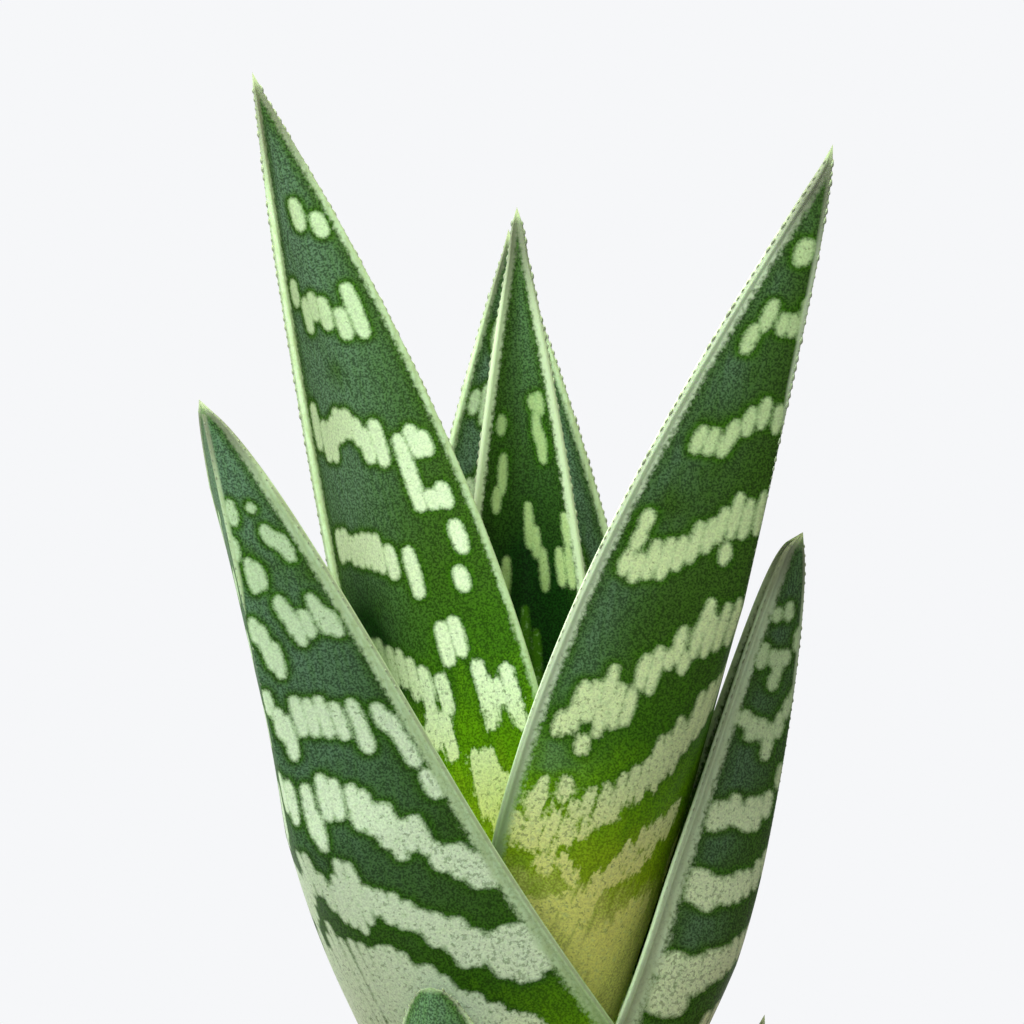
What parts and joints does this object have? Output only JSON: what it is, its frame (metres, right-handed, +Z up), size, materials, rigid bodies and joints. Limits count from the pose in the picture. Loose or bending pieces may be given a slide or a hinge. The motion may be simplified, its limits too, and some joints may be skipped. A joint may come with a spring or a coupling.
{
  "type": "potted tiger aloe",
  "caption": "Young tiger aloe in a round clay pot: keeled, channelled, fine-toothed leaves in three ranks stand up from a short stem rooted in potting mix.",
  "frame": {"origin": "centre of the pot's underside", "axes": "+Z up along the pot's axis, -Y towards the plant's front, +X to the right as seen from the front"},
  "size_m": [0.092, 0.092, 0.196],
  "materials": {
    "pot": "matte",
    "soil": "matte",
    "stem_and_roots": "matte",
    "leaf_heart": "satin",
    "leaf_inner_left": "satin",
    "leaf_inner_right": "satin",
    "leaf_inner_back": "satin",
    "leaf_outer_left": "satin",
    "leaf_outer_right": "satin",
    "leaf_outer_back": "satin",
    "leaf_low_front": "satin",
    "leaf_low_back": "satin",
    "leaf_low_right": "satin"
  },
  "bodies": {
    "root": {"pot": "pot", "soil": "soil", "stem_and_roots": "stem_and_roots", "leaf_heart": "leaf_heart", "leaf_inner_left": "leaf_inner_left", "leaf_inner_right": "leaf_inner_right", "leaf_inner_back": "leaf_inner_back", "leaf_outer_left": "leaf_outer_left", "leaf_outer_right": "leaf_outer_right", "leaf_outer_back": "leaf_outer_back", "leaf_low_front": "leaf_low_front", "leaf_low_back": "leaf_low_back", "leaf_low_right": "leaf_low_right"}
  },
  "joints": []
}
